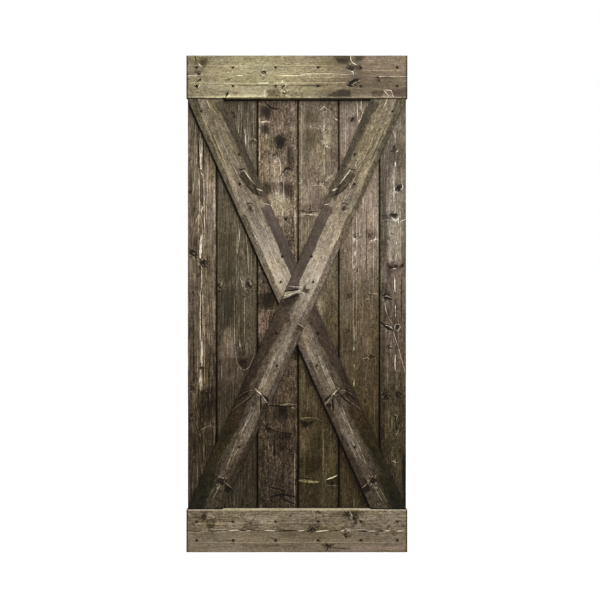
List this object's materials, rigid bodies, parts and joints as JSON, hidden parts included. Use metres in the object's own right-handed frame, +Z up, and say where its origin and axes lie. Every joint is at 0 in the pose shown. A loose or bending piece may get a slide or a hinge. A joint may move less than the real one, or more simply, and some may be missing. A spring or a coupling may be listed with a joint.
{
  "type": "sliding barn door",
  "caption": "Slab of a sliding barn door: tongue-and-groove knotty pine planks with a top rail, a bottom rail and an X brace screwed on the front.",
  "frame": {"origin": "middle of the door's foot, on the plane where the rails and braces lie on the planks, which is the middle of the door's thickness", "axes": "+Z up along the planks, front of the door towards -Y, +X to the right as seen from the front"},
  "size_m": [0.949, 0.035, 2.134],
  "materials": {
    "plank_wood": "dark brown-grey stain on brushed knotty pine, matt",
    "rail_wood": "paler grey-green stain on knotty pine, matt",
    "brace_wood": "grey-brown stain with dark bands on knotty pine, matt",
    "screw_steel": "black oxide"
  },
  "bodies": {
    "root": {"plank_1": "plank_wood", "plank_2": "plank_wood", "plank_3": "plank_wood", "plank_4": "plank_wood", "plank_5": "plank_wood", "plank_6": "plank_wood", "top_rail": "rail_wood", "bottom_rail": "rail_wood", "long_brace": "brace_wood", "upper_brace": "brace_wood", "lower_brace": "brace_wood", "top_rail_screws": "screw_steel", "bottom_rail_screws": "screw_steel", "long_brace_screws": "screw_steel", "upper_brace_screws": "screw_steel", "lower_brace_screws": "screw_steel"}
  },
  "joints": []
}
